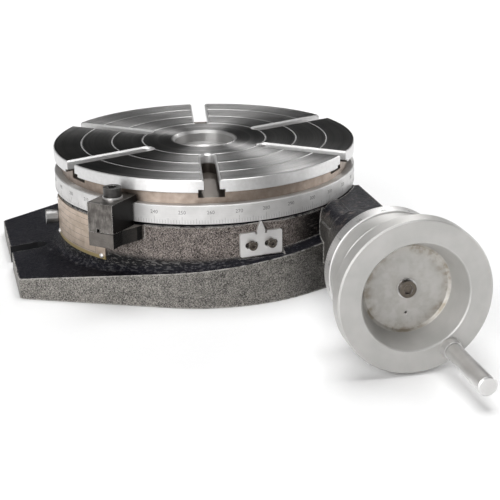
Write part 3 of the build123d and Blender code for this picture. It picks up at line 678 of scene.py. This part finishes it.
def dial_graduations(material):
    """One turn of the dial is 5 degrees: 150 marks of 2 minutes, with a number at each 20 minutes."""
    marks = 150
    minutes_per_mark = 2
    shape = bmesh.new()
    per_mark = 2 * math.pi * DIAL_R / marks
    edge = DIAL_HIGH.y - 1.2 * MM
    for mark in range(marks):
        end = edge - mark_length(mark, 4.4 * MM, 3.2 * MM, 2.2 * MM)
        add_bar(shape, round_dial, mark_sides(mark * per_mark), (end, edge), MARK_DEPTH)
    number_foot = DIAL_LOW.y + 1.6 * MM
    for mark in range(0, marks, 10):
        degrees, minutes = divmod(mark * minutes_per_mark, 60)
        text = str(minutes or degrees)
        add_number(shape, round_dial, text, mark * per_mark, number_foot, 3.0 * MM)
    piece("dial_graduations", shape, material, "dial")


def nameplate_lines(material):
    """A plain border and ruled lines on the blank nameplate."""
    margin = 4 * MM
    start = math.radians(-176.5) * PLATE_R
    end = math.radians(-146.5) * PLATE_R
    low = PLATE_LOW.z + margin
    high = PLATE_HIGH.z - margin
    half = LINE_WIDTH / 2
    curve_steps = 30
    shape = bmesh.new()
    on_plate = round_table_axis(PLATE_R)
    for v in (low, high):
        add_bar(shape, on_plate, (start, end), (v - half, v + half), LINE_DEPTH, curve_steps)
    for u in (start, end):
        upright = (low + LINE_WIDTH, high - LINE_WIDTH)
        add_bar(shape, on_plate, (u - half, u + half), upright, LINE_DEPTH)
    spaces = 5
    for i in range(1, spaces):
        v = low + (high - low) * i / spaces
        shorter = 9 * MM * (i % 2)
        across = (start + margin, end - margin - shorter)
        add_bar(shape, on_plate, across, (v - half, v + half), LINE_DEPTH, curve_steps)
    piece("nameplate_lines", shape, material, "base")


# -------------------------------------------------------------------- studio


def camera():
    """Camera in front of the object, a little to its left and above it."""
    yaw = math.radians(13.554)
    pitch = math.radians(19.366)
    roll = math.radians(0.864)
    place = (-0.22475, -1.09014, 0.39223)
    ahead = math.cos(pitch)
    forward = Vector((math.sin(yaw) * ahead, math.cos(yaw) * ahead, -math.sin(pitch)))
    level = Vector((math.cos(yaw), -math.sin(yaw), 0.0))
    down = forward.cross(level)
    right = math.cos(roll) * level + math.sin(roll) * down
    up = math.sin(roll) * level - math.cos(roll) * down
    turn = Matrix((right, up, -forward)).transposed().to_4x4()
    data = bpy.data.cameras.new("camera")
    data.sensor_width = 36.0
    data.lens = 98.73
    data.clip_end = 50.0
    made = bpy.data.objects.new("camera", data)
    made.matrix_world = Matrix.Translation(place) @ turn
    bpy.context.scene.collection.objects.link(made)
    bpy.context.scene.camera = made


def softbox(name, place, width, height, watts):
    """Rectangular studio light turned to the middle of the object."""
    middle = Vector((0.0, -0.08, 0.05))
    data = bpy.data.lights.new(name, "AREA")
    data.shape = "RECTANGLE"
    data.size = width
    data.size_y = height
    data.energy = watts
    made = bpy.data.objects.new(name, data)
    made.location = place
    made.rotation_euler = (middle - Vector(place)).to_track_quat("-Z", "Y").to_euler()
    bpy.context.scene.collection.objects.link(made)


def surroundings():
    """Soft room light, brighter in front of the object than behind it, and a pale backdrop."""
    light_behind = 0.05
    light_in_front = 0.12
    backdrop_strength = 0.95
    world = bpy.data.worlds.new("room")
    bpy.context.scene.world = world
    world.use_nodes = True
    tree = world.node_tree
    place = tree.nodes.new("ShaderNodeTexCoord")
    split = tree.nodes.new("ShaderNodeSeparateXYZ")
    tree.links.new(place.outputs["Generated"], split.inputs[0])
    spread = tree.nodes.new("ShaderNodeMapRange")
    spread.inputs["From Min"].default_value = 0.9
    spread.inputs["From Max"].default_value = -0.9
    spread.inputs["To Min"].default_value = light_behind
    spread.inputs["To Max"].default_value = light_in_front
    tree.links.new(split.outputs[1], spread.inputs["Value"])
    seen = tree.nodes.new("ShaderNodeLightPath").outputs["Is Camera Ray"]
    backdrop = tree.nodes.new("ShaderNodeMix")
    backdrop.inputs["B"].default_value = backdrop_strength
    tree.links.new(seen, backdrop.inputs["Factor"])
    tree.links.new(spread.outputs[0], backdrop.inputs["A"])
    background = tree.nodes["Background"]
    background.inputs["Color"].default_value = rgb(1.0, 1.0, 1.0)
    tree.links.new(backdrop.outputs["Result"], background.inputs["Strength"])


def floor():
    """Large flat floor, just under the base."""
    half_width = 6.0
    gap = 0.2 * MM
    shape = bmesh.new()
    bmesh.ops.create_grid(shape, x_segments=2, y_segments=2, size=half_width)
    data = bpy.data.meshes.new("floor")
    shape.to_mesh(data)
    shape.free()
    made = bpy.data.objects.new("floor", data)
    made.location.z = cad_box[0].z - gap
    data.materials.append(paper_floor())
    bpy.context.scene.collection.objects.link(made)


def studio():
    """Camera, floor, softboxes and room."""
    camera()
    floor()
    surroundings()
    softbox("overhead", (0.0, -0.1, 2.0), 1.5, 1.5, 30)
    softbox("front_left", (-1.4, -1.55, 0.85), 1.8, 1.6, 38)
    softbox("right", (1.5, 0.1, 0.5), 1.5, 0.8, 9)
    softbox("back_high", (0.29, 1.58, 1.45), 0.2, 0.2, 3)
    softbox("back_right", (0.69, 1.36, 1.17), 0.22, 0.22, 5.5)
    bpy.context.scene.view_settings.view_transform = "Standard"


# --------------------------------------------------------------------- make


def wear(material, *names):
    """Gives CAD nodes their material."""
    for name in names:
        slots = nodes[name].data.materials
        slots.clear()
        slots.append(material)


def dress_base():
    """Materials of the casting and of what is fixed to it or runs in it."""
    black = black_oxide("black_oxide", grey(0.028, -0.04), grey(0.09, 0.06))
    browned = black_oxide("browned_steel", grey(0.05, 0.15), grey(0.15, 0.18))
    iron = turned_steel("turned_iron", 0.28, 0.40, 0.38)
    plate_steel = turned_steel("plate_steel", 0.72, 0.84, 0.36, metal=0.75)
    wear(black_paint(), "base_casting")
    wear(brass_sheet(), "nameplate")
    wear(plate_steel, "pointer_plate", "nameplate_rivets")
    wear(plate_steel, "front_clamp_washer", "rear_clamp_washer")
    wear(dark_machined(), "front_clamp_jaw", "rear_clamp_jaw")
    wear(iron, "table_way_ring", "spindle_nut", "bottom_cover", "side_oiler", "bearing_sleeve")
    wear(black, "bottom_cover_screws", "oil_filler_plug", "bearing_sleeve_screws")
    wear(black, "worm_wheel_screws", "front_clamp_screw", "rear_clamp_screw")
    wear(browned, "handwheel_screw", "pointer_screws")


def dress_table():
    """Materials of the table and of the bronze under it."""
    ring_steel = turned_steel("ring_steel", 0.50, 0.68, 0.36, metal=0.5)
    wear(table_steel(), "rotary_platter")
    wear(ring_steel, "graduated_ring", "centre_sleeve")
    wear(bronze(), "spindle_bush", "thrust_washer", "worm_wheel", "worm_bush_inner", "worm_bush_far")


def dress_drive():
    """Materials of the worm, dial, handwheel and grip."""
    worm_axis = (WORM_X, WORM_Z)
    grip_axis = (GRIP_X, GRIP_Z)
    worm_steel = turned_steel("worm_steel", 0.50, 0.68, 0.28, "Y", worm_axis)
    grip_steel = turned_steel("grip_steel", 0.62, 0.74, 0.36, "Y", grip_axis, 0.85)
    dial_steel = turned_steel("dial_steel", 0.60, 0.72, 0.42, "Y", worm_axis, 0.8)
    ball_steel = turned_steel("ball_steel", 0.62, 0.75, 0.14, "Y", worm_axis)
    wear(worm_steel, "worm_shaft", "thrust_collar", "dial_hub", "dial_lock_screw")
    wear(worm_steel, "handwheel_key", "handwheel_washer")
    wear(ball_steel, "bearing_outer_race", "bearing_balls", "bearing_inner_race")
    wear(grip_steel, "handle_stem", "handle_grip")
    wear(dial_steel, "dial_ring")
    wear(satin_aluminium(), "handwheel")


def add_pieces():
    """Graduations and ruled lines."""
    ink = engraving()
    ring_graduations(ink)
    dial_graduations(ink)
    nameplate_lines(ink)


studio()
dress_base()
dress_table()
dress_drive()
add_pieces()
